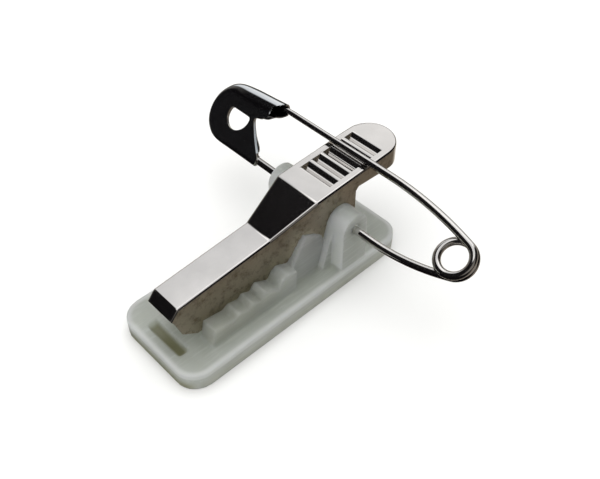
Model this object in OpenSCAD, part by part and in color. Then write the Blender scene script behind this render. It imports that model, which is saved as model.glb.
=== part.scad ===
// Combination badge clip: a moulded base with two lugs, a sprung sheet-metal
// lever between them, and a safety pin whose fixed leg is the hinge pin.
// Origin: middle of the base's underside. +X runs along the base to the finger
// tab, +Y to the pin's cap, +Z up. Millimetres.

/* [Plate] */
// Length of the plate
plate_length = 30.9; // [29.5:0.1:33]
// Width of the plate
plate_width = 12.5; // [12.3:0.1:14]
// Thickness of the plate
plate_thick = 2.2; // [1.8:0.1:2.3]
// Radius of the plate's corners
plate_corner = 2.5; // [1.5:0.1:3.5]

/* [Lugs and rails] */
// Distance between the lugs' inner faces
lug_gap = 6.7; // [6.6:0.05:6.8]
// Distance from the middle to the outer face of a lug and of a rail
lug_outer = 4.4; // [4.2:0.05:4.7]
// Distance from the middle to the outer end of a boss
boss_outer = 5.95; // [5.6:0.05:6.1]
// Radius of a lug's head and of its boss
lug_head_r = 1.9; // [1.7:0.05:2]
// Gap between a rail and the lever's flange
rail_clear = 0.32; // [0.3:0.01:0.4]

/* [Lever] */
// Thickness of the lever's sheet
sheet = 0.4; // [0.3:0.05:0.45]
// Width of the front strip
strip_width = 3.95; // [3.8:0.05:4]
// Width of the finger tab
tab_width = 6.24; // [6.1:0.02:6.3]
// Height of the flanges' lower edge above the plate
jaw_gap = 0.4; // [0.3:0.05:0.6]
// Number of grip grooves pressed into the finger tab
grip_count = 5; // [3:1:5]
// Length of a grip groove
grip_length = 4.45; // [3:0.05:4.6]
// Width of a grip groove
grip_width = 1.34; // [1:0.02:1.36]
// Depth of a grip groove
grip_depth = 0.4; // [0.2:0.01:0.45]
// Spacing of the grip grooves
grip_pitch = 1.69; // [1.65:0.01:1.7]

/* [Pin] */
// Diameter of the wire
wire_d = 0.88; // [0.8:0.01:0.9]
// Diameter of the needle's thinner end
needle_d = 0.7; // [0.6:0.01:0.8]
// Distance between the fixed leg and the needle
leg_gap = 6.75; // [6.7:0.05:7]
// Tilt of the pin above the horizontal, in degrees
pin_tilt = 44.4; // [43:0.1:46]
// Mean radius of the coil
coil_r = 1.88; // [1.8:0.01:2.1]
// Radial clearance of the fixed leg in the lugs and the ears
hinge_clear = 0.05; // [0.02:0.01:0.08]

/* [Cap] */
// Thickness of the cap's sheet
cap_sheet = 0.25; // [0.2:0.01:0.28]
// Radius of the cap's fold round the fixed leg
cap_fold_r = 0.75; // [0.74:0.01:0.8]
// Radius of the cap's hood round the needle
cap_hood_r = 1; // [0.95:0.01:1.05]
// Half thickness of the cap between its hood and its fold
cap_web_r = 0.38; // [0.36:0.01:0.5]
// Radius of the hole in the cap
cap_hole_r = 2.05; // [1.5:0.05:2.1]

/* [Hidden] */
$fn = 48;
// Oversize of a cut beyond the face that it leaves
over = 1;

// Axis that the lever and the pin share
pivot_x = 7.6;
pivot_z = 7.45;
bore_r = wire_d / 2 + hinge_clear;

// Lever seen from the side: bends of its top face, from the lip to the tab
lip_tip = [-13.9, 6.7];
strip_front = [-13, 7.75];
strip_back = [-0.9, 8.75];
tab_front = [4.7, 11.2];
tab_end = [18.67, 12.03];
lip_inside = 0.45;
lip_below = 0.5;
jaw_z = plate_thick + jaw_gap;
nose_back = -11.1;
nose_front = [-12.85, 3.9];
nose_top = [-13.6, 6.2];
jaw_back = -1;
ear_bottom = pivot_z - lug_head_r + 0.05;
ear_front = 5.2;
ear_back = 10.5;
ear_bevel = 1;
skirt_back_z = 9.8;
skirt_end_z = 9.4;
skirt_bevel = 0.4;
flange_slope = (tab_width - strip_width) / 2 / (tab_front[0] - strip_back[0]);
grip_first = 7.9;
// How far behind its middle a grip groove is deepest
grip_low = 0.13;
grip_back_margin = 0.3;
tab_slope = atan((tab_end[1] - tab_front[1]) / (tab_end[0] - tab_front[0]));

// Rails seen from the side, one row for each tooth
TOOTH_FOOT = 0;
TOOTH_CREST = 1;
CREST_Z = 2;
TOOTH_HEEL = 3;
HEEL_Z = 4;
teeth = [
    [-11.1, -10.6, 4.6, -8.4, 4.25],
    [-8.2, -7.4, 4.65, -6.2, 4.3],
    [-6.1, -5.6, 4.8, -4.4, 4.2],
    [-4.3, -3.8, 5.1, -2, 4.1],
    [-1.5, -0.8, 5.5, 0.5, 5.1],
];
// Shoulder between the rails and a lug
shoulder = [[0.5, 5.1], [1, 5.8], [1.75, 7.2], [2.4, 8.3], [3.9, 7.7], [5, 6.7]];
shoulder_outer = 3.7;
lug_foot = 4.25;
// Step from the heel of one tooth up towards the crest of the next
tooth_step = 0.5;
// Play that the lever's taper has along the rails when it swings
taper_play = 0.4;

// Groove across the plate under the lip
groove_front = -14.1;
groove_back = -12.9;
groove_width = 5.4;
groove_depth = 0.6;

// Pin: the coil's plane is turned so that each leg runs into its own turn
turn_pitch = wire_d + 0.03;
needle_u = sqrt(leg_gap * leg_gap - turn_pitch * turn_pitch);
coil_tilt = pin_tilt - asin(turn_pitch / leg_gap);
coil_u = 3.4;
coil_y = -17;
leg_bend_y = -8.3;
leg_end_y = 12;
needle_bend_y = -6;
needle_thins_y = -4;
needle_thin_y = 3;
needle_taper_y = 9;
needle_tip_y = 13.6;
needle_tip_r = 0.06;
// Ball that closes the seam between two bends, proud of the wire by a hair
seam_r = wire_d / 2 + 0.005;

// Cap, in the plane of the pin: middles of its flat web, its hood and its fold
cap_web_hood = [7.18, 8.4];
cap_web_leg = [-0.4, 8.4];
cap_round = [3, 16.5];
cap_round_r = 3.45;
cap_round_start = 10;
cap_round_step = 20;
cap_round_end = 190;
cap_fold = [[-0.01, 8.4], [-0.04, 13.6]];
// Middles of the hood with its radius there, as a share of cap_hood_r
cap_hood = [[6.56, 8.4, 1], [5.95, 15.3, 1], [5.5, 17.2, 0.82], [4.5, 18.8, 0.55]];
// Edges of the front sheet and of the back one, then the hole
front_edge = [[0.1, 9.6], [2.23, 11.72], [3.83, 12.92], [4.43, 11.87], [6.03, 11.2], [6.73, 10.6], [7.3, 10.15]];
back_edge = [[-0.7, 9.9], [0.6, 10.1], [1.37, 10.38], [2.57, 11.88], [4.07, 12.98], [4.67, 11.3], [6.2, 10.1]];
cap_hole = [2.93, 15.62];
cap_hole_top = 3.68;
cut_end_y = 7;
cut_start_u = -2;
cut_end_u = 9;

// Radius of an arc that leaves a straight leg and meets the coil without a kink,
// for a coil at distance reach beyond the bend and offset to the side of the leg
function bow_r(offset, reach) = (offset * offset + reach * reach - coil_r * coil_r) / (2 * (offset - coil_r));

// Side outline extruded from the middle out to half_width, on both sides
module side_slab(half_width) {
    translate([0, half_width, 0])
        rotate([90, 0, 0])
            linear_extrude(2 * half_width)
                children();
}

module rounded_plate() {
    for (flat = [[plate_length - 2 * plate_corner, plate_width], [plate_length, plate_width - 2 * plate_corner]])
        square(flat, center = true);
    for (sx = [-1, 1], sy = [-1, 1])
        translate([sx * (plate_length / 2 - plate_corner), sy * (plate_width / 2 - plate_corner)])
            circle(plate_corner);
}

module rail_outline() {
    crests = [
        for (tooth = teeth)
            each [
                [tooth[TOOTH_FOOT], tooth == teeth[0] ? plate_thick : tooth[CREST_Z] - tooth_step],
                [tooth[TOOTH_CREST], tooth[CREST_Z]],
                [tooth[TOOTH_HEEL], tooth[HEEL_Z]]
            ]
    ];
    polygon(concat([[teeth[0][TOOTH_FOOT], over]], crests, [[teeth[len(teeth) - 1][TOOTH_HEEL], over]]));
}

module shoulder_outline() {
    polygon(concat([[shoulder[0][0] - over, over], [shoulder[0][0] - over, plate_thick]], shoulder,
        [[shoulder[len(shoulder) - 1][0], over]]));
}

module boss_outline() {
    translate([pivot_x, pivot_z])
        circle(lug_head_r);
    translate([pivot_x - lug_head_r, over])
        square([2 * lug_head_r, pivot_z - over]);
}

// Lug with a straight front slope that touches its round head
module lug_outline() {
    foot = [lug_foot - pivot_x, plate_thick - pivot_z];
    touch = atan2(foot[1], foot[0]) - acos(lug_head_r / norm(foot));
    boss_outline();
    polygon([
        [lug_foot, over],
        [lug_foot, plate_thick],
        [pivot_x + lug_head_r * cos(touch), pivot_z + lug_head_r * sin(touch)],
        [pivot_x, pivot_z],
        [pivot_x, over]
    ]);
}

// Space between the rails and the lugs in which the lever swings
module lever_way() {
    narrow = strip_width / 2 + rail_clear;
    wide = lug_gap / 2;
    taper_start = strip_back[0] - taper_play;
    taper_end = taper_start + (wide - narrow) / flange_slope;
    translate([0, 0, plate_thick])
        linear_extrude(pivot_z + over)
            polygon([
                [-plate_length / 2, -narrow],
                [taper_start, -narrow],
                [taper_end, -wide],
                [plate_length / 2, -wide],
                [plate_length / 2, wide],
                [taper_end, wide],
                [taper_start, narrow],
                [-plate_length / 2, narrow]
            ]);
}

module hinge_bore(reach) {
    translate([pivot_x, reach, pivot_z])
        rotate([90, 0, 0])
            cylinder(r = bore_r, h = 2 * reach);
}

module moulding() {
    color([0.72, 0.75, 0.72])
        difference() {
            union() {
                linear_extrude(plate_thick)
                    rounded_plate();
                side_slab(lug_outer)
                    rail_outline();
                side_slab(shoulder_outer)
                    shoulder_outline();
                side_slab(lug_outer)
                    lug_outline();
                side_slab(boss_outer)
                    boss_outline();
            }
            lever_way();
            hinge_bore(boss_outer + over);
            translate([groove_front, -groove_width / 2, plate_thick - groove_depth])
                cube([groove_back - groove_front, groove_width, groove_depth + over]);
        }
}

// Lever seen from above, drawn in by inset on its sides and its round end
module lever_plan(inset) {
    strip_half = strip_width / 2 - inset;
    tab_half = tab_width / 2 - inset;
    end_x = tab_end[0] - tab_width / 2;
    polygon([
        [-plate_length / 2, -strip_half],
        [strip_back[0], -strip_half],
        [tab_front[0], -tab_half],
        [end_x, -tab_half],
        [end_x, tab_half],
        [tab_front[0], tab_half],
        [strip_back[0], strip_half],
        [-plate_length / 2, strip_half]
    ]);
    translate([end_x, 0])
        circle(tab_half);
}

module lever_outline() {
    polygon([
        strip_front,
        strip_back,
        tab_front,
        [tab_end[0] + over, tab_end[1] + over * tan(tab_slope)],
        [tab_end[0] + over, skirt_end_z],
        [ear_back + skirt_bevel, skirt_back_z],
        [ear_back, skirt_back_z - skirt_bevel],
        [ear_back, ear_bottom + ear_bevel],
        [ear_back - ear_bevel, ear_bottom],
        [ear_front, ear_bottom],
        [jaw_back, jaw_z],
        [nose_back, jaw_z],
        nose_front,
        nose_top,
        lip_tip
    ]);
}

// Hollow of the channel, open below and under the lip
module lever_hollow() {
    polygon([
        strip_front + [lip_inside, -sheet],
        strip_back - [0, sheet],
        tab_front - [0, sheet],
        [tab_end[0] + over, tab_end[1] + over * tan(tab_slope) - sheet],
        [tab_end[0] + over, 0],
        [lip_tip[0] - over, 0],
        [lip_tip[0] - over, lip_tip[1] - lip_below],
        [lip_tip[0] + lip_inside, lip_tip[1] - lip_below]
    ]);
}

// V section of a grip groove, widened and lowered for its back under the tab
module grip_section(widen, lower) {
    polygon([
        [-grip_width / 2 - widen, over],
        [-grip_width / 2 - widen, -lower],
        [grip_low, -grip_depth - lower],
        [grip_width / 2 + widen, -lower],
        [grip_width / 2 + widen, over]
    ]);
}

// Runs the children along the finger tab, once for each grip groove
module each_grip(length) {
    for (i = [0 : grip_count - 1])
        translate([tab_front[0], 0, tab_front[1]])
            rotate([0, -tab_slope, 0])
                translate([grip_first - tab_front[0] + i * grip_pitch, length / 2, 0])
                    rotate([90, 0, 0])
                        linear_extrude(length)
                            children();
}

module clip_lever() {
    color([0.8, 0.8, 0.82])
        difference() {
            intersection() {
                linear_extrude(tab_end[1] + over)
                    lever_plan(0);
                side_slab(tab_width)
                    lever_outline();
            }
            difference() {
                intersection() {
                    linear_extrude(tab_end[1] + over)
                        lever_plan(sheet);
                    side_slab(tab_width)
                        lever_hollow();
                }
                each_grip(grip_length + grip_back_margin)
                    grip_section(0.04, sheet);
            }
            hinge_bore(tab_width);
            each_grip(grip_length)
                grip_section(0, 0);
        }
}

// Frame whose origin is on the hinge axis, tilted about it
module pin_frame(tilt) {
    translate([pivot_x, 0, pivot_z])
        rotate([0, -tilt, 0])
            children();
}

module seam_ball(u, y, n) {
    translate([u, y, n])
        sphere(seam_r);
}

// Bent wire: part of a ring of radius r from angle start over sweep degrees
module wire_arc(r, start, sweep) {
    rotate([0, 0, start])
        rotate_extrude(angle = sweep)
            translate([r, 0])
                circle(d = wire_d);
}

module pin_wire() {
    leg_r = bow_r(coil_u, leg_bend_y - coil_y);
    leg_turn = atan2(leg_bend_y - coil_y, leg_r - coil_u);
    needle_r = bow_r(needle_u - coil_u, needle_bend_y - coil_y);
    needle_turn = atan2(needle_bend_y - coil_y, needle_r - (needle_u - coil_u));
    cross_tilt = atan(turn_pitch / 2 / coil_r);
    color([0.75, 0.75, 0.77])
        pin_frame(coil_tilt) {
            translate([0, leg_bend_y, 0])
                rotate([-90, 0, 0])
                    cylinder(d = wire_d, h = leg_end_y - leg_bend_y);
            translate([leg_r, leg_bend_y, 0])
                wire_arc(leg_r, 180, leg_turn);
            translate([coil_u, coil_y, 0])
                wire_arc(coil_r, 180 + leg_turn, 180 - leg_turn);
            translate([coil_u, coil_y, turn_pitch / 2])
                rotate([0, cross_tilt, 0])
                    wire_arc(norm([coil_r, turn_pitch / 2]), 0, 180);
            translate([coil_u, coil_y, turn_pitch])
                wire_arc(coil_r, 180, 180 - needle_turn);
            translate([needle_u - needle_r, needle_bend_y, turn_pitch])
                wire_arc(needle_r, -needle_turn, needle_turn);
            translate([needle_u, needle_bend_y, turn_pitch])
                rotate([-90, 0, 0]) {
                    cylinder(d = wire_d, h = needle_thins_y - needle_bend_y);
                    translate([0, 0, needle_thins_y - needle_bend_y])
                        cylinder(d1 = wire_d, d2 = needle_d, h = needle_thin_y - needle_thins_y);
                    translate([0, 0, needle_thin_y - needle_bend_y])
                        cylinder(d = needle_d, h = needle_taper_y - needle_thin_y);
                    translate([0, 0, needle_taper_y - needle_bend_y])
                        cylinder(r1 = needle_d / 2, r2 = needle_tip_r, h = needle_tip_y - needle_taper_y);
                }
            seam_ball(0, leg_bend_y, 0);
            seam_ball(coil_u - coil_r * cos(leg_turn), coil_y - coil_r * sin(leg_turn), 0);
            seam_ball(coil_u + coil_r, coil_y, 0);
            seam_ball(coil_u - coil_r, coil_y, turn_pitch);
            seam_ball(coil_u + coil_r * cos(needle_turn), coil_y - coil_r * sin(needle_turn), turn_pitch);
            seam_ball(needle_u, needle_bend_y, turn_pitch);
        }
}

// Rounded bar between two middles [u, y, share of r], narrowed by inset
module cap_bar(from, to, r, inset) {
    hull()
        for (middle = [from, to])
            translate([middle[0], middle[1], 0])
                sphere(r * middle[2] - inset, $fn = 24);
}

// Cap with its web, its hood and its fold, drawn in by inset
module cap_body(inset) {
    round_end = [
        for (turn = [cap_round_start : cap_round_step : cap_round_end])
            cap_round + cap_round_r * [cos(turn), sin(turn)]
    ];
    hull()
        for (middle = concat([cap_web_hood], round_end, [cap_web_leg]))
            translate([middle[0], middle[1], 0])
                sphere(cap_web_r - inset, $fn = 16);
    for (i = [0 : len(cap_hood) - 2])
        cap_bar(cap_hood[i], cap_hood[i + 1], cap_hood_r, inset);
    cap_bar(concat(cap_fold[0], 1), concat(cap_fold[1], 1), cap_fold_r, inset);
}

// Cut that leaves one sheet of the cap with the given edge towards the coil
module cap_cut(edge, low) {
    translate([0, 0, low])
        linear_extrude(2 * cap_hood_r)
            polygon(concat([[cut_start_u, edge[0][1]]], edge,
                [[cut_end_u, edge[len(edge) - 1][1]], [cut_end_u, cut_end_y], [cut_start_u, cut_end_y]]));
}

module pin_cap() {
    color([0.35, 0.33, 0.34])
        pin_frame(pin_tilt)
            difference() {
                cap_body(0);
                cap_body(cap_sheet);
                cap_cut(front_edge, 0);
                cap_cut(back_edge, -2 * cap_hood_r);
                intersection() {
                    translate([cap_hole[0], cap_hole[1], -over])
                        cylinder(r = cap_hole_r, h = 2 * over);
                    translate([cap_hole[0] - 2 * cap_hole_r, cap_hole[1] - 2 * cap_hole_r, -over])
                        cube([cap_hole_top - cap_hole[0] + 2 * cap_hole_r, 4 * cap_hole_r, 2 * over]);
                }
            }
}

moulding();
clip_lever();
pin_wire();
pin_cap();
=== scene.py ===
"""A combination badge clip lying on a pale table: a moulded base, a plated spring
lever with grip grooves, and a safety pin with a folded cap, at its real size."""

import logging
import math
from dataclasses import dataclass, field
from enum import Enum
from typing import Callable, Iterable

import bmesh
import bpy
from mathutils import Matrix, Vector

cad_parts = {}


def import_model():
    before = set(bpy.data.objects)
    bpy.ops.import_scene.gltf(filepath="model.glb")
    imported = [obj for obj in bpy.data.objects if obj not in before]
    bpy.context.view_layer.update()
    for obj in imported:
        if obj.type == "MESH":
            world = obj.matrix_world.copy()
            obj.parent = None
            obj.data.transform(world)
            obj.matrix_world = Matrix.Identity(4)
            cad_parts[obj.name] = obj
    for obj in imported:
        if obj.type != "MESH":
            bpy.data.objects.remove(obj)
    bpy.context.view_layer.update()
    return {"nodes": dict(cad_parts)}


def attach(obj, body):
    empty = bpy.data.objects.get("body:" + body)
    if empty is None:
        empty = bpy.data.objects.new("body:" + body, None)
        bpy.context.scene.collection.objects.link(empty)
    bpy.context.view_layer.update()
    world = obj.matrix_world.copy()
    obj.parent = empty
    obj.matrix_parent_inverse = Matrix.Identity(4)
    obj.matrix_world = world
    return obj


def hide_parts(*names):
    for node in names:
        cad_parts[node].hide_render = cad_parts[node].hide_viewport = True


LOG = logging.getLogger("badge_clip")
MM = 0.001

# Middle of the hinge, on which the lever and the pin both turn.
HINGE = Vector((7.6, 0.0, 7.45)) * MM

# Degrees by which the line from the pin's fixed leg to its needle rises from the plate.
PIN_TILT = 44.4

# In millimetres: half sizes of the plate, radius of its corners, and its top.
PLATE_HALF = (15.45, 6.25)
PLATE_CORNER = 2.5
PLATE_TOP = 2.2

# Front, back and half width of the groove under the lip, in millimetres.
GROOVE = (-14.1, -12.9, 2.7)


class Body(Enum):
    """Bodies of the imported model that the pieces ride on."""

    BASE = "base"
    LEVER = "lever"
    PIN = "pin"


class Slot(Enum):
    """Material slots of the record."""

    PLASTIC = "plastic"
    SHEET = "plated_sheet"
    WIRE = "plated_wire"
    CAP = "cap_sheet"


def add_object(name: str, data: bpy.types.ID) -> bpy.types.Object:
    """Adds an object to the scene.

    Args:
        name: Name of the object.
        data: Its mesh, camera or lamp.

    Returns:
        The object.
    """
    item = bpy.data.objects.new(name, data)
    bpy.context.scene.collection.objects.link(item)
    return item


@dataclass(frozen=True)
class Camera:
    """The photograph's camera, round a target point in the clip's own frame."""

    azimuth: float = -43.48
    elevation: float = 45.70
    distance: float = 87.44 * MM
    target: Vector = field(default_factory=lambda: Vector((5.32, 0.26, 3.0)) * MM)
    lens: float = 46.42
    sensor: float = 36.0
    near: float = 1 * MM
    far: float = 5.0

    def back(self) -> Vector:
        """Direction from the target to the camera."""
        a, e = math.radians(self.azimuth), math.radians(self.elevation)
        return Vector((math.sin(a) * math.cos(e), -math.cos(a) * math.cos(e), math.sin(e)))

    def place(self) -> None:
        """Adds the camera and makes it the scene's own."""
        data = bpy.data.cameras.new("photo_camera")
        data.lens = self.lens
        data.sensor_width = self.sensor
        data.clip_start = self.near
        data.clip_end = self.far
        camera = add_object(data.name, data)
        camera.location = self.target + self.back() * self.distance
        camera.rotation_mode = "QUATERNION"
        camera.rotation_quaternion = (-self.back()).to_track_quat("-Z", "Y")
        bpy.context.scene.camera = camera


def linear(code: str) -> tuple[float, float, float, float]:
    """Turns an sRGB hex code into a linear colour.

    Args:
        code: Six hex digits with a leading hash sign.

    Returns:
        Red, green, blue and an alpha of 1.
    """
    parts = [int(code[i : i + 2], 16) / 255 for i in (1, 3, 5)]
    r, g, b = (c / 12.92 if c <= 0.04045 else ((c + 0.055) / 1.055) ** 2.4 for c in parts)
    return r, g, b, 1.0


def grey(level: float) -> tuple[float, float, float, float]:
    """Neutral colour of a linear level, which may be brighter than white."""
    return level, level, level, 1.0


def set_inputs(tree: bpy.types.NodeTree, node: bpy.types.Node, inputs: dict) -> None:
    """Sets or links inputs of a node.

    Args:
        tree: Node tree that holds the node.
        node: The node.
        inputs: Values or output sockets for its inputs, by name or index.
    """
    for name, value in inputs.items():
        if isinstance(value, bpy.types.NodeSocket):
            tree.links.new(value, node.inputs[name])
        else:
            node.inputs[name].default_value = value


def add_node(
    tree: bpy.types.NodeTree,
    kind: str,
    settings: dict | None = None,
    inputs: dict | None = None,
) -> bpy.types.Node:
    """Adds one node with its settings and links.

    Args:
        tree: Node tree that gets the node.
        kind: Blender's name for the node's type.
        settings: Attributes of the node.
        inputs: Values or output sockets for its inputs, by name or index.

    Returns:
        The new node.
    """
    node = tree.nodes.new(kind)
    for name, value in (settings or {}).items():
        setattr(node, name, value)
    set_inputs(tree, node, inputs or {})
    return node


def new_material(name: str) -> tuple[bpy.types.Material, bpy.types.NodeTree, bpy.types.Node]:
    """Makes a node material with a Principled shader.

    Args:
        name: Name of the material.

    Returns:
        The material, its tree and the Principled node.
    """
    material = bpy.data.materials.new(name)
    material.use_nodes = True
    tree = material.node_tree
    shader = tree.nodes["Principled BSDF"]
    return material, tree, shader


@dataclass(frozen=True)
class Zone:
    """Part of a surface, or of the sky, that takes a tone, with soft borders.

    Attributes:
        borders: A measure's name, where its soft step starts, and where it is full.
        share: Share of the tone inside all the borders.
    """

    borders: tuple[tuple[str, float, float], ...]
    share: float = 1.0

    def build(
        self, tree: bpy.types.NodeTree, measures: dict[str, bpy.types.NodeSocket]
    ) -> bpy.types.NodeSocket:
        """Builds the zone's share as the product of its borders' steps.

        Args:
            tree: Node tree that gets the nodes.
            measures: Socket of each measure, by its name in the borders.

        Returns:
            The share of the tone.
        """
        share = self.share
        for measure, start, full in self.borders:
            step = add_node(tree, "ShaderNodeMapRange", {"interpolation_type": "SMOOTHSTEP"}, {
                "Value": measures[measure], "From Min": start, "From Max": full,
                "To Max": share})
            share = step.outputs["Result"]
        return share


def widest_share(
    tree: bpy.types.NodeTree, zones: Iterable[Zone], measures: dict[str, bpy.types.NodeSocket]
) -> bpy.types.NodeSocket:
    """Joins zones, and keeps the largest share where they overlap.

    Args:
        tree: Node tree that gets the nodes.
        zones: The zones.
        measures: Socket of each measure, by its name in the zones' borders.

    Returns:
        The joint share of the tone.
    """
    whole, *others = (zone.build(tree, measures) for zone in zones)
    for share in others:
        larger = add_node(tree, "ShaderNodeMath", {"operation": "MAXIMUM"}, {0: whole, 1: share})
        whole = larger.outputs["Value"]
    return whole


@dataclass(frozen=True)
class NickelPlate:
    """Bright nickel plate on steel sheet or wire: a clean mirror with faint waves and a few
    dark pits. The flanks, which face along the hinge, may be duller and stained, and may
    take a darker painted shade."""

    name: str = "bright_nickel_plate"
    colour: str = "#DAD7D4"
    # Colour of the flanks; a darker one than the plate's is a painted shade.
    flank_shade_colour: str = "#DAD7D4"
    flank_facing: tuple[float, float] = (0.9, 0.97)
    roughness: float = 0.1
    roughness_spread: tuple[float, float] = (0.8, 1.6)
    flank_roughness: float = 0.1
    wave_mm: float = 2.2
    wave_range: tuple[float, float] = (0.3, 0.7)
    wave_depth: float = 0.02
    wave_strength: float = 0.25
    tarnish: float = 0.08
    # The plate's own grain is finer, and is drawn as coarse as it needs to show.
    speck_mm: float = 0.16
    speck_range: tuple[float, float] = (0.35, 0.8)
    pit_mm: float = 6.0
    pit_range: tuple[float, float] = (0.022, 0.0308)
    pit_tone: float = 0.1
    stain: str = "#57492F"
    stain_mm: float = 1.1
    stain_range: tuple[float, float] = (0.48, 0.66)
    stain_share: float = 0.0

    def base_colour(
        self,
        tree: bpy.types.NodeTree,
        place: bpy.types.NodeSocket,
        flank: bpy.types.NodeSocket,
        wave: bpy.types.NodeSocket,
    ) -> bpy.types.NodeSocket:
        """Colour of the plate, with its tarnish and pits, and the flanks' painted shade and stains.

        Args:
            tree: Node tree of the material.
            place: Place on the piece.
            flank: Share of the flanks.
            wave: Height of the rolling waves.

        Returns:
            The colour.
        """
        cloud = add_node(tree, "ShaderNodeTexNoise", None, {
            "Vector": place, "Scale": 1 / (self.stain_mm * MM), "Detail": 6.0, "Roughness": 0.75})
        patch = add_node(tree, "ShaderNodeMapRange", None, {
            "Value": cloud.outputs["Fac"], "From Min": self.stain_range[0],
            "From Max": self.stain_range[1], "To Max": self.stain_share})
        # The flanks take their painted shade, with random stains over it.
        shaded_and_stained = add_node(tree, "ShaderNodeMix", {"data_type": "RGBA"}, {
            "Factor": patch.outputs["Result"], "A": linear(self.flank_shade_colour),
            "B": linear(self.stain)})
        base = add_node(tree, "ShaderNodeMix", {"data_type": "RGBA"}, {
            "Factor": flank, "A": linear(self.colour), "B": shaded_and_stained.outputs["Result"]})
        tint = add_node(tree, "ShaderNodeMapRange", None, {
            "Value": wave, "From Min": self.wave_range[0], "From Max": self.wave_range[1],
            "To Min": 1.0 - self.tarnish, "To Max": 1.0})
        cells = add_node(tree, "ShaderNodeTexVoronoi", None, {
            "Vector": place, "Scale": 1 / (self.pit_mm * MM)})
        pit = add_node(tree, "ShaderNodeMapRange", None, {
            "Value": cells.outputs["Distance"], "From Min": self.pit_range[0],
            "From Max": self.pit_range[1], "To Min": self.pit_tone,
            "To Max": tint.outputs["Result"]})
        colour = add_node(tree, "ShaderNodeVectorMath", {"operation": "SCALE"}, {
            "Vector": base.outputs["Result"], "Scale": pit.outputs["Result"]})
        return colour.outputs["Vector"]

    def make(self) -> bpy.types.Material:
        """Builds the material.

        Returns:
            The material.
        """
        material, tree, shader = new_material(self.name)
        where = add_node(tree, "ShaderNodeTexCoord")
        place = where.outputs["Object"]
        facing = add_node(tree, "ShaderNodeSeparateXYZ", None, {"Vector": where.outputs["Normal"]})
        side = add_node(tree, "ShaderNodeMath", {"operation": "ABSOLUTE"}, {0: facing.outputs["Y"]})
        flank = add_node(tree, "ShaderNodeMapRange", None, {
            "Value": side.outputs["Value"], "From Min": self.flank_facing[0],
            "From Max": self.flank_facing[1]})
        wave = add_node(tree, "ShaderNodeTexNoise", None, {
            "Vector": place, "Scale": 1 / (self.wave_mm * MM), "Detail": 2.0})
        grain = add_node(tree, "ShaderNodeTexNoise", None, {
            "Vector": place, "Scale": 1 / (self.speck_mm * MM), "Detail": 3.0})
        low, high = (self.roughness * part for part in self.roughness_spread)
        rough = add_node(tree, "ShaderNodeMapRange", None, {
            "Value": grain.outputs["Fac"], "From Min": self.speck_range[0],
            "From Max": self.speck_range[1], "To Min": low, "To Max": high})
        dull = add_node(tree, "ShaderNodeMapRange", None, {
            "Value": flank.outputs["Result"], "To Min": rough.outputs["Result"],
            "To Max": self.flank_roughness})
        bump = add_node(tree, "ShaderNodeBump", None, {
            "Strength": self.wave_strength, "Distance": self.wave_depth * MM,
            "Height": wave.outputs["Fac"]})
        colour = self.base_colour(tree, place, flank.outputs["Result"], wave.outputs["Fac"])
        set_inputs(tree, shader, {
            "Base Color": colour, "Metallic": 1.0, "Roughness": dull.outputs["Result"],
            "Normal": bump.outputs["Normal"]})
        return material


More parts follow.
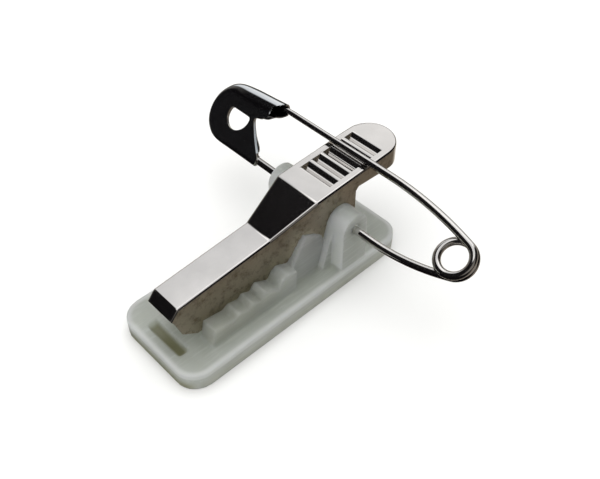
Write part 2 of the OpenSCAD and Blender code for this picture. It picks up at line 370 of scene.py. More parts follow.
@dataclass(frozen=True)
class MilkyPlastic:
    """Natural polypropylene, moulded: cloudy, with pale streaks along its flow, a painted
    highlight on rounded edges and lug fronts, and olive painted shade in low, covered places.

    Its zones are measured in millimetres: along, across and up in the clip's own frame,
    and reach, outwards from the rectangle between the centres of the plate's corners.
    Their measure facing is the X of the surface's normal, below 0 towards the lip.
    """

    name: str = "milky_polypropylene"
    milky: str = "#C8CCC7"
    cloudy: str = "#B4B8B1"
    # Olive painted shade for the groove, the feet of the walls and the rails.
    painted_shade: str = "#7F7E5E"
    # Pale tone of the flow streaks, also used for the painted highlights.
    pale: str = "#E4E8E4"
    roughness: float = 0.36
    roughness_spread: tuple[float, float] = (0.85, 1.25)
    cloud_mm: float = 2.6
    cloud_range: tuple[float, float] = (0.3, 0.7)
    skin_mm: float = 0.45
    skin_depth: float = 0.03
    skin_strength: float = 0.25
    flow_mm: tuple[float, float, float] = (3.2, 0.32, 0.32)
    flow_range: tuple[float, float] = (0.5, 0.75)
    flow_share: float = 0.4
    refraction: float = 1.49
    clearness: float = 0.6
    scatter_mm: float = 6.0
    scatter: tuple[float, float, float] = (1.0, 1.0, 0.9)
    painted_highlight_zones: tuple[Zone, ...] = (
        # Painted highlight on the plate's upper rounded edge.
        Zone((("reach", PLATE_CORNER - 0.75, PLATE_CORNER - 0.25),
              ("up", PLATE_TOP - 0.75, PLATE_TOP - 0.4), ("up", PLATE_TOP + 0.3, PLATE_TOP + 0.1))),
        # Painted light on the fronts of the lugs, which look towards the lip.
        Zone((("facing", -0.25, -0.7), ("along", 3.9, 4.2), ("up", 2.3, 2.8))),
    )
    painted_shade_zones: tuple[Zone, ...] = (
        # Painted shade on the floor of the groove.
        Zone((("along", GROOVE[0] - 0.15, GROOVE[0] + 0.35),
              ("along", GROOVE[1] + 0.15, GROOVE[1] - 0.35),
              ("across", GROOVE[2] + 0.1, GROOVE[2] - 0.5), ("up", PLATE_TOP, PLATE_TOP - 0.45))),
        # Painted shade at the foot of the wall in front.
        Zone((("along", 1.4 - PLATE_HALF[0], 0.2 - PLATE_HALF[0]), ("up", 1.5, 0.2))),
        # Painted shade at the foot of the walls at the sides.
        Zone((("across", PLATE_HALF[1] - 0.7, PLATE_HALF[1]), ("up", 1.5, 0.2)), 0.4),
        # Painted shade on the rails, towards the lip.
        Zone((("up", 2.3, 3.0), ("along", 1.0, -7.0)), 0.32),
    )

    def measures(
        self, tree: bpy.types.NodeTree, where: bpy.types.Node
    ) -> dict[str, bpy.types.NodeSocket]:
        """Measures that the zones of the tones follow.

        Args:
            tree: Node tree of the material.
            where: Its texture coordinates.

        Returns:
            Socket of each measure, by name.
        """
        scaled = add_node(tree, "ShaderNodeVectorMath", {"operation": "SCALE"}, {
            0: where.outputs["Object"], "Scale": 1 / MM})
        spot = scaled.outputs["Vector"]
        axes = add_node(tree, "ShaderNodeSeparateXYZ", None, {"Vector": spot}).outputs
        facing = add_node(tree, "ShaderNodeSeparateXYZ", None, {"Vector": where.outputs["Normal"]})
        across = add_node(tree, "ShaderNodeMath", {"operation": "ABSOLUTE"}, {0: axes["Y"]})
        # The height is taken off whole, so that the reach lies in the plate's plane.
        inner = (*(size - PLATE_CORNER for size in PLATE_HALF), 1 / MM)
        none = (0.0, 0.0, 0.0)
        for operation, value in (("ABSOLUTE", none), ("SUBTRACT", inner), ("MAXIMUM", none)):
            step = add_node(tree, "ShaderNodeVectorMath", {"operation": operation}, {
                0: spot, 1: value})
            spot = step.outputs["Vector"]
        reach = add_node(tree, "ShaderNodeVectorMath", {"operation": "LENGTH"}, {0: spot})
        return {
            "along": axes["X"], "up": axes["Z"], "across": across.outputs["Value"],
            "facing": facing.outputs["X"], "reach": reach.outputs["Value"]}

    def base_colour(
        self, tree: bpy.types.NodeTree, where: bpy.types.Node, cloud: bpy.types.NodeSocket
    ) -> bpy.types.NodeSocket:
        """Colour of the plastic, with its streaks, painted highlights and olive painted shade.

        Args:
            tree: Node tree of the material.
            where: Its texture coordinates.
            cloud: Share of the cloudier tone.

        Returns:
            The colour.
        """
        stretch = add_node(tree, "ShaderNodeMapping", None, {
            "Vector": where.outputs["Object"],
            "Scale": tuple(1 / (size * MM) for size in self.flow_mm)})
        flow = add_node(tree, "ShaderNodeTexNoise", None, {
            "Vector": stretch.outputs["Vector"], "Scale": 1.0, "Detail": 3.0})
        streak = add_node(tree, "ShaderNodeMapRange", None, {
            "Value": flow.outputs["Fac"], "From Min": self.flow_range[0],
            "From Max": self.flow_range[1], "To Max": self.flow_share})
        measures = self.measures(tree, where)
        colour = linear(self.milky)
        for share, tone in (
            (cloud, self.cloudy),
            (streak.outputs["Result"], self.pale),
            # Painted highlight on the rounded edge and the lug fronts.
            (widest_share(tree, self.painted_highlight_zones, measures), self.pale),
            # Olive painted shade in the groove, at the feet of the walls and on the rails.
            (widest_share(tree, self.painted_shade_zones, measures), self.painted_shade),
        ):
            mix = add_node(tree, "ShaderNodeMix", {"data_type": "RGBA"}, {
                "Factor": share, "A": colour, "B": linear(tone)})
            colour = mix.outputs["Result"]
        return colour

    def make(self) -> bpy.types.Material:
        """Builds the material.

        Returns:
            The material.
        """
        material, tree, shader = new_material(self.name)
        where = add_node(tree, "ShaderNodeTexCoord")
        place = where.outputs["Object"]
        cloud = add_node(tree, "ShaderNodeTexNoise", None, {
            "Vector": place, "Scale": 1 / (self.cloud_mm * MM), "Detail": 4.0})
        skin = add_node(tree, "ShaderNodeTexNoise", None, {
            "Vector": place, "Scale": 1 / (self.skin_mm * MM), "Detail": 3.0})
        low, high = (self.roughness * part for part in self.roughness_spread)
        rough = add_node(tree, "ShaderNodeMapRange", None, {
            "Value": cloud.outputs["Fac"], "From Min": self.cloud_range[0],
            "From Max": self.cloud_range[1], "To Min": low, "To Max": high})
        bump = add_node(tree, "ShaderNodeBump", None, {
            "Strength": self.skin_strength, "Distance": self.skin_depth * MM,
            "Height": skin.outputs["Fac"]})
        colour = self.base_colour(tree, where, cloud.outputs["Fac"])
        set_inputs(tree, shader, {
            "Base Color": colour, "Roughness": rough.outputs["Result"],
            "Normal": bump.outputs["Normal"], "IOR": self.refraction,
            "Transmission Weight": self.clearness, "Subsurface Weight": 1.0,
            "Subsurface Radius": self.scatter, "Subsurface Scale": self.scatter_mm * MM})
        return material


def merged_copy(
    source: bpy.types.Object, name: str, weld: float = 0.002 * MM, flat: float = 0.5
) -> bpy.types.Object:
    """Copies a CAD node as a clean mesh with its flat faces joined.

    Args:
        source: The CAD node's object.
        name: Name of the new object.
        weld: Points that lie closer than this are merged.
        flat: Faces that bend less than this many degrees are joined.

    Returns:
        The new object, linked to the scene.
    """
    mesh = source.data.copy()
    mesh.name = name
    mesh.materials.clear()
    work = bmesh.new()
    work.from_mesh(mesh)
    bmesh.ops.remove_doubles(work, verts=work.verts, dist=weld)
    bmesh.ops.dissolve_limit(
        work, angle_limit=math.radians(flat), verts=work.verts, edges=work.edges)
    work.to_mesh(mesh)
    work.free()
    for layer in [a.name for a in mesh.attributes if a.name == "custom_normal"]:
        mesh.attributes.remove(mesh.attributes[layer])
    return add_object(name, mesh)


def weigh_edges(
    mesh: bpy.types.Mesh, weight: Callable[[Vector, Vector, Vector, bool], float], least: float
) -> None:
    """Gives each edge the share of the bevel's width that it takes.

    Args:
        mesh: Mesh whose edges are weighed.
        weight: Share for an edge, from its middle, its two faces' normals and
            whether it is convex.
        least: Edges that bend less than this many degrees take none.
    """
    work = bmesh.new()
    work.from_mesh(mesh)
    layer = work.edges.layers.float.new("bevel_weight_edge")
    for edge in work.edges:
        if len(edge.link_faces) != 2:
            continue
        one, two = (face.normal for face in edge.link_faces)
        if one.angle(two, 0.0) < math.radians(least):
            continue
        middle = (edge.verts[0].co + edge.verts[1].co) / 2
        edge[layer] = weight(middle, one, two, edge.is_convex)
    work.to_mesh(mesh)
    work.free()


def bevel(piece: bpy.types.Object, width: float, segments: int) -> None:
    """Rounds the weighed edges of a piece and bakes the result.

    Args:
        piece: Object whose mesh has bevel weights.
        width: Width of a bevel of weight 1, in metres.
        segments: Number of steps round the bevel.
    """
    rounding = piece.modifiers.new("rounding", "BEVEL")
    rounding.limit_method = "WEIGHT"
    rounding.width = width
    rounding.segments = segments
    rounding.use_clamp_overlap = False
    rounding.miter_outer = "MITER_ARC"
    bake(piece)


def bake(piece: bpy.types.Object) -> None:
    """Turns a piece's modifiers into plain mesh and removes them.

    Args:
        piece: Object with modifiers.
    """
    graph = bpy.context.evaluated_depsgraph_get()
    mesh = bpy.data.meshes.new_from_object(piece.evaluated_get(graph))
    piece.modifiers.clear()
    piece.data = mesh


def smooth(piece: bpy.types.Object, sharp: float, flats: bool = False) -> None:
    """Shades a piece smooth, but for its sharp edges.

    Args:
        piece: Object to shade.
        sharp: Edges that bend more than this many degrees stay sharp.
        flats: Whether large flat faces keep their own direction up to their edges.
    """
    mesh = piece.data
    mesh.polygons.foreach_set("use_smooth", [True] * len(mesh.polygons))
    mesh.set_sharp_from_angle(angle=math.radians(sharp))
    mesh.update()
    if flats:
        keep = piece.modifiers.new("flats", "WEIGHTED_NORMAL")
        keep.keep_sharp = True
        keep.weight = 100
        bake(piece)


def finish_piece(
    piece: bpy.types.Object, body: Body, material: bpy.types.Material, node: str
) -> None:
    """Gives a piece its material and body, and hides its CAD node.

    Args:
        piece: The finished object.
        body: Body that it rides on.
        material: Its finish.
        node: CAD node that it stands for.
    """
    piece.data.materials.clear()
    piece.data.materials.append(material)
    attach(piece, body.value)
    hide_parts(node)


def geometry_tree(name: str, inputs: dict[str, tuple[str, float]]) -> bpy.types.NodeTree:
    """Makes an empty Geometry Nodes tree with named inputs.

    Args:
        name: Name of the tree.
        inputs: Type and default of each input, by name.

    Returns:
        The tree, with its sockets and no nodes.
    """
    tree = bpy.data.node_groups.new(name, "GeometryNodeTree")
    face = tree.interface
    face.new_socket("Geometry", in_out="INPUT", socket_type="NodeSocketGeometry")
    for label, (kind, value) in inputs.items():
        socket = face.new_socket(label, in_out="INPUT", socket_type=kind)
        socket.default_value = value
    face.new_socket("Geometry", in_out="OUTPUT", socket_type="NodeSocketGeometry")
    return tree


def run_tree(piece: bpy.types.Object, tree: bpy.types.NodeTree, values: dict[str, float]) -> None:
    """Runs a Geometry Nodes tree on a piece and bakes the result into it.

    Args:
        piece: Object that carries the modifier.
        tree: The tree to run.
        values: Value of each input, by its name in the tree.
    """
    modifier = piece.modifiers.new("shape", "NODES")
    modifier.node_group = tree
    sockets = {
        item.name: item.identifier
        for item in tree.interface.items_tree
        if item.item_type == "SOCKET" and item.in_out == "INPUT"
    }
    for label, value in values.items():
        modifier[sockets[label]] = value
    bake(piece)


@dataclass
class Moulding:
    """The plastic base: its plate, rails, lugs and bosses, with soft moulded edges."""

    node: bpy.types.Object
    voxel: float = 0.12 * MM
    relax_share: float = 0.5
    passes: int = 8
    groove_passes: int = 16
    # In millimetres: how far beyond the groove, and from what height up, it is softened.
    groove_reach: float = 0.6
    groove_low: float = 0.5

    def relax(self, piece: bpy.types.Object, passes: int, group: str = "") -> None:
        """Evens out the piece's skin and bakes the result.

        Args:
            piece: The base.
            passes: Number of passes.
            group: Vertex group that is evened out, or none for the whole skin.
        """
        even = piece.modifiers.new("relax", "SMOOTH")
        even.iterations = passes
        even.factor = self.relax_share
        even.vertex_group = group
        bake(piece)

    def groove_group(self, piece: bpy.types.Object) -> str:
        """Marks the groove under the lip, whose edges are softer than the others.

        Args:
            piece: The base.

        Returns:
            Name of the vertex group.
        """
        front, back, half = GROOVE
        group = piece.vertex_groups.new(name="groove")
        for vertex in piece.data.vertices:
            x, y, z = vertex.co / MM
            beyond = max(front - x, x - back, abs(y) - half, 0.0)
            if z > self.groove_low and beyond < self.groove_reach:
                group.add([vertex.index], 1 - beyond / self.groove_reach, "REPLACE")
        return group.name

    def build(self, material: bpy.types.Material) -> bpy.types.Object:
        """Builds the piece.

        Args:
            material: Finish of the plastic.

        Returns:
            The finished object.
        """
        piece = merged_copy(self.node, "moulded_base")
        skin = piece.modifiers.new("skin", "REMESH")
        skin.mode = "VOXEL"
        skin.voxel_size = self.voxel
        self.relax(piece, self.passes)
        self.relax(piece, self.groove_passes, self.groove_group(piece))
        smooth(piece, 180)
        finish_piece(piece, Body.BASE, material, self.node.name)
        return piece


@dataclass
class ClipLever:
    """The sheet-metal lever: its bent channel and the rims of its grip grooves."""

    node: bpy.types.Object
    bend: float = 0.3 * MM
    bend_steps: int = 4
    cut_share: float = 0.16
    fold_share: float = 0.5
    least_bend: float = 18
    sharp: float = 35
    # Z of a face's normal: more than the first is a top, and less than the second upright.
    top_from: float = 0.6
    slant_from: float = 0.2
    # Y of the normals of two faces with a fold between them, taken together.
    fold_play: float = 0.1
    ear_hole: float = 0.8 * MM
    end_x: float = 15.55 * MM
    rim_from: float = 1.6 * MM

    def share(self, middle: Vector, one: Vector, two: Vector, convex: bool) -> float:
        """Share of the bend radius that an edge takes.

        Args:
            middle: Middle of the edge.
            one: Normal of one of its faces.
            two: Normal of the other.
            convex: Whether the edge is convex.

        Returns:
            Full where the top turns down into a flange, less across the top's folds and
            at cut edges, and none in the ears' holes.
        """
        top, side = (one, two) if one.z > two.z else (two, one)
        lean = abs(top.y) + abs(side.y)
        if top.z > self.slant_from and side.z > self.slant_from and lean < self.fold_play:
            return self.fold_share
        if not convex or (middle - HINGE).xz.length < self.ear_hole:
            return 0.0
        if top.z > self.top_from and abs(side.z) < self.slant_from:
            outward = Vector((max(middle.x - self.end_x, 0), middle.y, 0))
            outer = abs(middle.y) > self.rim_from or middle.x > self.end_x
            return 1.0 if outer and outward.dot(side) > 0 else self.cut_share
        return self.cut_share

    def build(self, material: bpy.types.Material) -> bpy.types.Object:
        """Builds the channel.

        Args:
            material: Finish of the sheet.

        Returns:
            The finished object.
        """
        piece = merged_copy(self.node, "clip_lever_sheet")
        weigh_edges(piece.data, self.share, self.least_bend)
        bevel(piece, self.bend, self.bend_steps)
        smooth(piece, self.sharp, flats=True)
        finish_piece(piece, Body.LEVER, material, self.node.name)
        return piece


@dataclass
class SafetyPin:
    """The pin's wire, drawn along one path from the fixed leg to the needle's tip.

    The path is worked out in the coil's plane: u from the fixed leg to the needle, y
    along the legs, and the height above the plane.
    """

    node: bpy.types.Object
    wire: float = 0.88 * MM
    sides: int = 24
    sharp: float = 50
    leg_gap: float = 6.75 * MM
    coil_r: float = 1.88 * MM
    coil_u: float = 3.4 * MM
    coil_y: float = -17 * MM
    turn_gap: float = 0.03 * MM
    leg_end: float = 12.0 * MM
    leg_bend: float = -8.3 * MM
    needle_bend: float = -6.0 * MM
    bow_steps: int = 16
    turn_steps: int = 36
    cross_steps: int = 40
    # Place along the needle and thickness there, in millimetres.
    thins: tuple[tuple[float, float], ...] = ((-4.0, 0.88), (3.0, 0.7), (9.0, 0.7), (13.6, 0.12))
    thin_steps: int = 8

    @property
    def pitch(self) -> float:
        """Height of the needle's turn above the fixed leg's."""
        return self.wire + self.turn_gap

    def bow(self, offset: float, reach: float) -> tuple[float, float]:
        """Arc that leaves a straight leg and runs into the coil.

        Args:
            offset: Distance of the coil's centre beside the leg.
            reach: Distance of the coil's centre beyond the bend.

        Returns:
            Radius of the arc and its angle in degrees.
        """
        r = (offset**2 + reach**2 - self.coil_r**2) / (2 * (offset - self.coil_r))
        return r, math.degrees(math.atan2(reach, r - offset))

    def arc(
        self, centre: tuple[float, float], r: float, start: float, sweep: float,
        rise: tuple[float, float], steps: int,
    ) -> list[Vector]:
        """Points of an arc in the coil's plane.

        Args:
            centre: Centre of the arc.
            r: Radius of the arc.
            start: Angle of its first point, in degrees.
            sweep: Angle that it covers.
            rise: Height above the plane at its start and its end.
            steps: Number of points after the first.

        Returns:
            The points after the first.
        """
        points = []
        for i in range(1, steps + 1):
            part = i / steps
            turn = math.radians(start + sweep * part)
            lift = rise[0] + (rise[1] - rise[0]) * (1 - math.cos(math.pi * part)) / 2
            u, y = centre[0] + r * math.cos(turn), centre[1] + r * math.sin(turn)
            points.append(Vector((u, y, lift)))
        return points

    def path(self) -> list[Vector]:
        """Middle line of the wire, up to where the needle starts to thin.

        Returns:
            The points of the line, in the coil's plane.
        """
        pitch = self.pitch
        needle_u = math.sqrt(self.leg_gap**2 - pitch**2)
        leg_r, leg_turn = self.bow(self.coil_u, self.leg_bend - self.coil_y)
        out_r, out_turn = self.bow(needle_u - self.coil_u, self.needle_bend - self.coil_y)
        leg, coil = (leg_r, self.leg_bend), (self.coil_u, self.coil_y)
        needle = (needle_u - out_r, self.needle_bend)
        points = [Vector((0, self.leg_end, 0)), Vector((0, self.leg_bend, 0))]
        for centre, r, start, sweep, rise, steps in (
            (leg, leg_r, 180, leg_turn, (0, 0), self.bow_steps),
            (coil, self.coil_r, 180 + leg_turn, 180 - leg_turn, (0, 0), self.turn_steps),
            (coil, self.coil_r, 0, 180, (0, pitch), self.cross_steps),
            (coil, self.coil_r, 180, 180 - out_turn, (pitch, pitch), self.turn_steps),
            (needle, out_r, -out_turn, out_turn, (pitch, pitch), self.bow_steps),
        ):
            points += self.arc(centre, r, start, sweep, rise, steps)
        points.append(Vector((needle_u, self.thins[0][0] * MM, pitch)))
        return points

    def frame(self) -> Matrix:
        """Places the coil's plane in the clip's frame."""
        tilt = math.radians(PIN_TILT) - math.asin(self.pitch / self.leg_gap)
        return Matrix.Translation(HINGE) @ Matrix.Rotation(-tilt, 4, "Y")

    def sweep_tree(self, material: bpy.types.Material) -> bpy.types.NodeTree:
        """Geometry Nodes tree that draws a round wire along a path of edges.

        Args:
            material: Finish of the wire.

        Returns:
            The tree.
        """
        tree = geometry_tree("wire_sweep", {
            "Wire radius": ("NodeSocketFloat", self.wire / 2),
            "Sides": ("NodeSocketInt", self.sides)})
        enter = add_node(tree, "NodeGroupInput")
        curve = add_node(tree, "GeometryNodeMeshToCurve", None, {"Mesh": enter.outputs["Geometry"]})
        share = add_node(tree, "GeometryNodeInputNamedAttribute", {"data_type": "FLOAT"}, {
            "Name": "thickness"})
        ring = add_node(tree, "GeometryNodeCurvePrimitiveCircle", None, {
            "Resolution": enter.outputs["Sides"], "Radius": enter.outputs["Wire radius"]})
        sweep = add_node(tree, "GeometryNodeCurveToMesh", None, {
            "Curve": curve.outputs["Curve"], "Profile Curve": ring.outputs["Curve"],
            "Scale": share.outputs["Attribute"], "Fill Caps": True})
        real = add_node(tree, "GeometryNodeRealizeInstances", None, {
            "Geometry": sweep.outputs["Mesh"]})
        coat = add_node(tree, "GeometryNodeSetMaterial", None, {
            "Geometry": real.outputs["Geometry"], "Material": material})
        add_node(tree, "NodeGroupOutput", None, {"Geometry": coat.outputs["Geometry"]})
        return tree

    def build(self, material: bpy.types.Material) -> bpy.types.Object:
        """Builds the wire.

        Args:
            material: Finish of the wire.

        Returns:
            The finished object.
        """
        place = self.frame()
        points = self.path()
        shares = [1.0] * len(points)
        start = points[-1]
        for one, two in zip(self.thins, self.thins[1:]):
            for i in range(1, self.thin_steps + 1):
                y, size = (a + (b - a) * i / self.thin_steps for a, b in zip(one, two))
                points.append(Vector((start.x, y * MM, start.z)))
                shares.append(size * MM / self.wire)
        edges = [(i, i + 1) for i in range(len(points) - 1)]
        mesh = bpy.data.meshes.new("pin_wire_drawn")
        mesh.from_pydata([place @ p for p in points], edges, [])
        mesh.attributes.new("thickness", "FLOAT", "POINT").data.foreach_set("value", shares)
        piece = add_object(mesh.name, mesh)
        tree = self.sweep_tree(material)
        run_tree(piece, tree, {"Wire radius": self.wire / 2, "Sides": self.sides})
        smooth(piece, self.sharp)
        finish_piece(piece, Body.PIN, material, self.node.name)
        return piece


def spline(given: tuple[tuple[float, ...], ...], steps: int) -> list[tuple[float, ...]]:
    """Smooth curve through rows of numbers.

    Args:
        given: Rows that the curve goes through.
        steps: Number of steps from one row to the next.

    Returns:
        The rows of the curve, with the given ones among them.
    """
    result = []
    for i in range(len(given) - 1):
        a, b = given[max(i - 1, 0)], given[i]
        c, d = given[i + 1], given[min(i + 2, len(given) - 1)]
        for k in range(steps):
            t = k / steps
            result.append(tuple(
                0.5 * (2 * q + (r - p) * t + (2 * p - 5 * q + 4 * r - s) * t**2
                       + (3 * q - p - 3 * r + s) * t**3)
                for p, q, r, s in zip(a, b, c, d)))
    return result + [given[-1]]


@dataclass
class PinCap:
    """The pin's cap, pressed from one sheet: a hood round the needle, a soft round end, a
    fold round the fixed leg, and a thin web with a hole between them.

    All its sizes are in millimetres, in the pin's plane: u from the fixed leg to the
    needle, y along the legs, and the height above the plane.
    """

    node: bpy.types.Object
    sheet: float = 0.19
    # Heights of the web's front and back sheets above the plane.
    web: tuple[float, float] = (0.56, 0.16)
    # Along the rim: u, y and height of its middle, radius of its bead, and radii of the
    # hollows between the bead and the front and back sheets.
    stations: tuple[tuple[float, ...], ...] = (
        (6.56, 7.8, 0.0, 1.0, 1.2, 0.5), (6.25, 11.6, 0.0, 1.0, 1.2, 0.5),
        (5.99, 15.1, 0.0, 1.0, 1.2, 0.5), (5.79, 17.3, 0.06, 0.8, 1.1, 0.5),
        (5.13, 18.5, 0.16, 0.55, 0.9, 0.55), (3.91, 19.33, 0.28, 0.36, 0.7, 0.6),
        (2.39, 19.49, 0.34, 0.26, 0.6, 0.6), (0.96, 18.92, 0.36, 0.24, 0.6, 0.6),
        (-0.03, 17.76, 0.32, 0.28, 0.7, 0.5), (-0.33, 16.5, 0.2, 0.4, 0.9, 0.4),
        (-0.19, 14.6, 0.06, 0.58, 1.1, 0.3), (-0.12, 12.8, 0.0, 0.65, 1.2, 0.3),
        (-0.12, 7.8, 0.0, 0.65, 1.2, 0.3))
    rows: int = 12
    # Radius from which a bead is flattened, and how much one of radius 1 is.
    hood_from: float = 0.65
    hood_flat: float = 0.4
    turns: int = 16
    fillet: int = 8
    web_step: float = 0.05
    # Middle and radius of the hole, and u of its flat side.
    hole: tuple[float, float, float, float] = (3.08, 15.17, 1.7, 3.7)
    hole_steps: int = 48
    hole_power: int = 12
    # Edges of the front and back sheets towards the coil, from the fold to the hood.
    front_edge: tuple[tuple[float, float], ...] = (
        (0.1, 9.6), (2.23, 11.72), (3.83, 12.92), (4.43, 11.87), (6.03, 11.2), (6.73, 10.6),
        (7.3, 10.15))
    back_edge: tuple[tuple[float, float], ...] = (
        (-0.7, 9.9), (0.6, 10.1), (1.37, 10.38), (2.57, 11.88), (4.07, 12.98), (4.67, 11.3),
        (6.2, 10.1))
    edge_steps: int = 6
    # Least and largest u of a trimming block, its y towards the coil, and its height.
    block: tuple[float, float, float, float] = (-2.0, 9.0, 7.0, 2.0)
    block_overlap: float = 0.02
    sharp: float = 40

    def profile(self, bead: float, ease: float, web: float) -> list[tuple[float, float]]:
        """Half section of the rim, from its outermost line in to the flat web.

        Args:
            bead: Radius of the rolled rim.
            ease: Radius of the hollow between the rim and the web.
            web: Height of the web above the rim's middle.

        Returns:
            Distance outwards from the rim's middle, and height above it.
        """
        reach = math.sqrt((bead + ease) ** 2 - (web + ease) ** 2)
        last = math.atan2(web + ease, -reach)
        hood = max(0.0, bead - self.hood_from) / (1.0 - self.hood_from)
        power = 2 - self.hood_flat * hood
        points = []
        for k in range(self.turns + 1):
            x, h = math.cos(last * k / self.turns), math.sin(last * k / self.turns)
            size = bead / (x**power + h**power) ** (1 / power) if x > 0 else bead
            points.append((size * x, size * h))
        for k in range(1, self.fillet + 1):
            turn = last + math.pi + (math.pi / 2 - last) * k / self.fillet
            points.append((-reach + ease * math.cos(turn), web + ease + ease * math.sin(turn)))
        points.append((-reach - self.web_step, web))
        return points

    def skin(self) -> bmesh.types.BMesh:
        """Outer skin of both sheets, with the hole in them and open towards the coil.

        Returns:
            The mesh, whose faces point outwards.
        """
        work = bmesh.new()
        grid = []
        stations = spline(self.stations, self.rows)
        front, back = self.web
        for i, (u, y, middle, bead, *eases) in enumerate(stations):
            before, after = stations[max(i - 1, 0)], stations[min(i + 1, len(stations) - 1)]
            along = Vector((after[0] - before[0], after[1] - before[1])).normalized()
            upper = self.profile(bead, eases[0], front - middle)
            lower = self.profile(bead, eases[1], middle - back)
            full = [(x, middle + h) for x, h in reversed(upper)]
            full += [(x, middle - h) for x, h in lower[1:]]
            grid.append([
                work.verts.new((u + along.y * x, y - along.x * x, h)) for x, h in full])
        for row, following in zip(grid, grid[1:]):
            for k in range(len(row) - 1):
                work.faces.new((row[k], row[k + 1], following[k + 1], following[k]))
        for side, height in ((0, front), (-1, back)):
            border = [row[side] for row in grid]
            ring = [work.verts.new((u, y, height)) for u, y in self.hole_outline()]
            pairs = list(zip(border, border[1:])) + [(border[-1], border[0])]
            pairs += [(ring[k - 1], ring[k]) for k in range(len(ring))]
            edges = [work.edges.get(pair) or work.edges.new(pair) for pair in pairs]
            bmesh.ops.triangle_fill(work, edges=edges, use_beauty=True)
        bmesh.ops.recalc_face_normals(work, faces=work.faces)
        highest = max(work.faces, key=lambda face: face.calc_center_median().z)
        if highest.normal.z < 0:
            bmesh.ops.reverse_faces(work, faces=work.faces)
        return work

    def hole_outline(self) -> list[tuple[float, float]]:
        """Outline of the hole: round, but for a flat side towards the hood, with soft
        corners between them.

        Returns:
            Its points in the pin's plane.
        """
        u, y, r, flat = self.hole
        points = []
        for k in range(self.hole_steps):
            turn = 2 * math.pi * k / self.hole_steps
            reach = max(math.cos(turn), 0.0) / (flat - u)
            size = (r**-self.hole_power + reach**self.hole_power) ** (-1 / self.hole_power)
            points.append((u + size * math.cos(turn), y + size * math.sin(turn)))
        return points

    def cutter(self, edge: tuple[tuple[float, float], ...], low: float) -> bpy.types.Object:
        """Block that trims one sheet to its edge.

        Args:
            edge: Edge of the sheet, from the fold to the hood.
            low: Height of the block's lower face.

        Returns:
            The block, linked to the scene.
        """
        least, most, end, height = self.block
        outline = [(least, edge[0][1]), *spline(edge, self.edge_steps), (most, edge[-1][1])]
        outline += [(most, end), (least, end)]
        work = bmesh.new()
        face = work.faces.new([work.verts.new((u, y, low)) for u, y in outline])
        raised = bmesh.ops.extrude_face_region(work, geom=[face])["geom"]
        corners = [v for v in raised if isinstance(v, bmesh.types.BMVert)]
        bmesh.ops.translate(work, verts=corners, vec=(0, 0, height))
        bmesh.ops.recalc_face_normals(work, faces=work.faces)
        return self.as_object(work, "cap_cut")

    def as_object(self, work: bmesh.types.BMesh, name: str) -> bpy.types.Object:
        """Places a mesh drawn in the pin's plane in the clip's frame.

        Args:
            work: The mesh, in millimetres, which is freed.
            name: Name of the object.

        Returns:
            The object, linked to the scene.
        """
        turn = Matrix.Rotation(-math.radians(PIN_TILT), 4, "Y")
        work.transform(Matrix.Translation(HINGE) @ turn @ Matrix.Scale(MM, 4))
        mesh = bpy.data.meshes.new(name)
        work.to_mesh(mesh)
        work.free()
        return add_object(name, mesh)

    def build(self, material: bpy.types.Material) -> bpy.types.Object:
        """Builds the cap.

        Args:
            material: Finish of the sheet.

        Returns:
            The finished object.
        """
        piece = self.as_object(self.skin(), "pin_cap_sheet")
        wall = piece.modifiers.new("wall", "SOLIDIFY")
        wall.thickness = self.sheet * MM
        wall.offset = -1.0
        wall.use_even_offset = True
        middle = sum(self.web) / 2
        blocks = [
            self.cutter(self.front_edge, middle - self.block_overlap),
            self.cutter(self.back_edge, middle - self.block[3])]
        for block in blocks:
            trim = piece.modifiers.new("trim", "BOOLEAN")
            trim.operation = "DIFFERENCE"
            trim.solver = "MANIFOLD"
            trim.object = block
        bake(piece)
        for block in blocks:
            bpy.data.objects.remove(block)
        smooth(piece, self.sharp)
        finish_piece(piece, Body.PIN, material, self.node.name)
        return piece


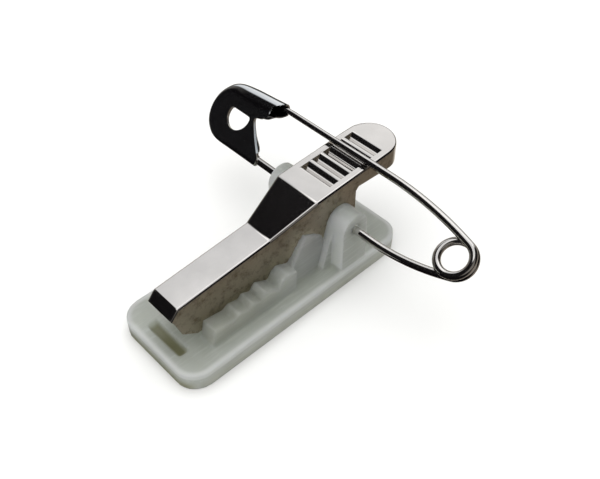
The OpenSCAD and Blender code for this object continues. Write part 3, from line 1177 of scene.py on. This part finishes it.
@dataclass
class Studio:
    """Pale table, soft overhead light, and surroundings that the plating mirrors."""

    ground: str = "#F7F7F6"
    table_size: float = 2.0
    table_roughness: float = 0.9
    sky: str = "#F1F2F4"
    far: float = 1.1
    bright: float = 1.7
    dim: str = "#8A8177"
    cream: str = "#D9D3C8"
    dark: str = "#0D0B0D"
    dusk: str = "#6E6A66"
    rear: str = "#7E7A75"
    # Name, place, length of the sides and power of each soft lamp.
    lamps: tuple[tuple[str, tuple[float, float, float], float, float], ...] = (
        ("overhead", (0.03, 0.05, 0.35), 0.35, 0.42),
        ("lip_side", (-0.3, 0.03, 0.12), 0.16, 0.16))
    lamp_target: tuple[float, float, float] = (0.002, 0.0, 0.004)

    def mirrored_colour(
        self, tree: bpy.types.NodeTree, axes: dict[str, bpy.types.NodeSocket]
    ) -> bpy.types.NodeSocket:
        """Colour that a mirror sees in each direction.

        Args:
            tree: Node tree of the world.
            axes: Parts X, Y and Z of the direction.

        Returns:
            The colour: bright over +X, dark over -X and -Y, and duller below.
        """
        tones = {name: linear(getattr(self, name)) for name in (
            "sky", "dim", "cream", "dark", "dusk", "rear")}
        tones.update(far=grey(self.far), bright=grey(self.bright))
        # Each row mixes two tones into a new one, by the zones where the second shows.
        for name, one, two, *zones in (
            ("floor", "dim", "cream", Zone((("Y", -0.3, 0.25),))),
            ("ahead", "dark", "floor", Zone((("X", -0.1, 0.35),))),
            ("behind", "dark", "dusk", Zone((("Y", 0.68, 0.92),))),
            ("low", "behind", "ahead", Zone((("Z", -0.05, -0.22),))),
            ("under", "low", "rear",
             Zone((("Y", -0.4, -0.65), ("X", 0.3, 0.05), ("Z", 0.08, 0.2)))),
            ("high", "sky", "far", Zone((("X", 0.33, 0.6),))),
            ("glow", "high", "bright", Zone((("Z", 0.78, 0.9), ("Z", 0.97, 0.92)))),
            ("full", "under", "glow",
             Zone((("X", -0.09, 0.2), ("Z", 0.2, 0.42), ("Y", -0.32, -0.02))),
             Zone((("Z", 0.88, 0.95),))),
        ):
            mix = add_node(tree, "ShaderNodeMix", {"data_type": "RGBA"}, {
                "Factor": widest_share(tree, zones, axes), "A": tones[one], "B": tones[two]})
            tones[name] = mix.outputs["Result"]
        return tones["full"]

    def surroundings(self) -> None:
        """World with one colour for mirrors and an even one for all other light."""
        world = bpy.data.worlds.new("studio")
        bpy.context.scene.world = world
        world.use_nodes = True
        tree = world.node_tree
        tree.nodes.clear()
        along = add_node(tree, "ShaderNodeTexCoord").outputs["Generated"]
        axes = add_node(tree, "ShaderNodeSeparateXYZ", None, {"Vector": along}).outputs
        colour = self.mirrored_colour(tree, {name: axes[name] for name in "XYZ"})
        mirror = add_node(tree, "ShaderNodeBackground", None, {"Color": colour})
        even = add_node(tree, "ShaderNodeBackground", None, {"Color": linear(self.ground)})
        ray = add_node(tree, "ShaderNodeLightPath")
        mix = add_node(tree, "ShaderNodeMixShader", None, {
            0: ray.outputs["Is Glossy Ray"], 1: even.outputs["Background"],
            2: mirror.outputs["Background"]})
        add_node(tree, "ShaderNodeOutputWorld", None, {"Surface": mix.outputs["Shader"]})

    def table(self) -> None:
        """Adds the pale table under the clip."""
        mesh = bpy.data.meshes.new("table")
        half = self.table_size / 2
        corners = [(-half, -half, 0), (half, -half, 0), (half, half, 0), (-half, half, 0)]
        mesh.from_pydata(corners, [], [(0, 1, 2, 3)])
        top = add_object(mesh.name, mesh)
        material, tree, shader = new_material("pale_table")
        set_inputs(tree, shader, {
            "Base Color": linear(self.ground), "Roughness": self.table_roughness,
            "Specular IOR Level": 0.0})
        mesh.materials.append(material)
        top.visible_glossy = False

    def lamp(self, name: str, place: Vector, size: float, watts: float) -> None:
        """Adds a square soft lamp that looks at the clip and stays out of mirrors.

        Args:
            name: Name of the lamp.
            place: Where it stands.
            size: Length of its sides.
            watts: Its power.
        """
        data = bpy.data.lights.new(name, "AREA")
        data.size = size
        data.energy = watts
        lamp = add_object(name, data)
        lamp.location = place
        lamp.rotation_mode = "QUATERNION"
        lamp.rotation_quaternion = (Vector(self.lamp_target) - place).to_track_quat("-Z", "Y")
        lamp.visible_glossy = False

    def build(self) -> None:
        """Builds the studio."""
        bpy.context.scene.view_settings.view_transform = "Standard"
        self.surroundings()
        self.table()
        for name, place, size, watts in self.lamps:
            self.lamp(name, Vector(place), size, watts)


def main() -> None:
    """Builds the clip, its finishes and the studio."""
    logging.basicConfig(level=logging.INFO, format="%(message)s")
    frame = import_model()
    nodes = frame["nodes"]
    Camera().place()
    # The lever's flanks get a brown-grey painted shade, and the cap's a grey one.
    sheet = NickelPlate(flank_shade_colour="#BDB3A2", flank_roughness=0.5, stain_share=0.6)
    wire = NickelPlate(name="bright_nickel_wire", speck_mm=0.3)
    cap = NickelPlate(name="dark_nickel_cap", colour="#DADDDF", flank_shade_colour="#B9B6B4")
    for maker, finish in (
        (Moulding(nodes["moulding"]), MilkyPlastic()),
        (ClipLever(nodes["clip_lever"]), sheet),
        (SafetyPin(nodes["pin_wire"]), wire),
        (PinCap(nodes["pin_cap"]), cap),
    ):
        piece = maker.build(finish.make())
        LOG.info("%s: %d faces of %s", piece.name, len(piece.data.polygons), finish.name)
    Studio().build()


if __name__ == "__main__":
    main()
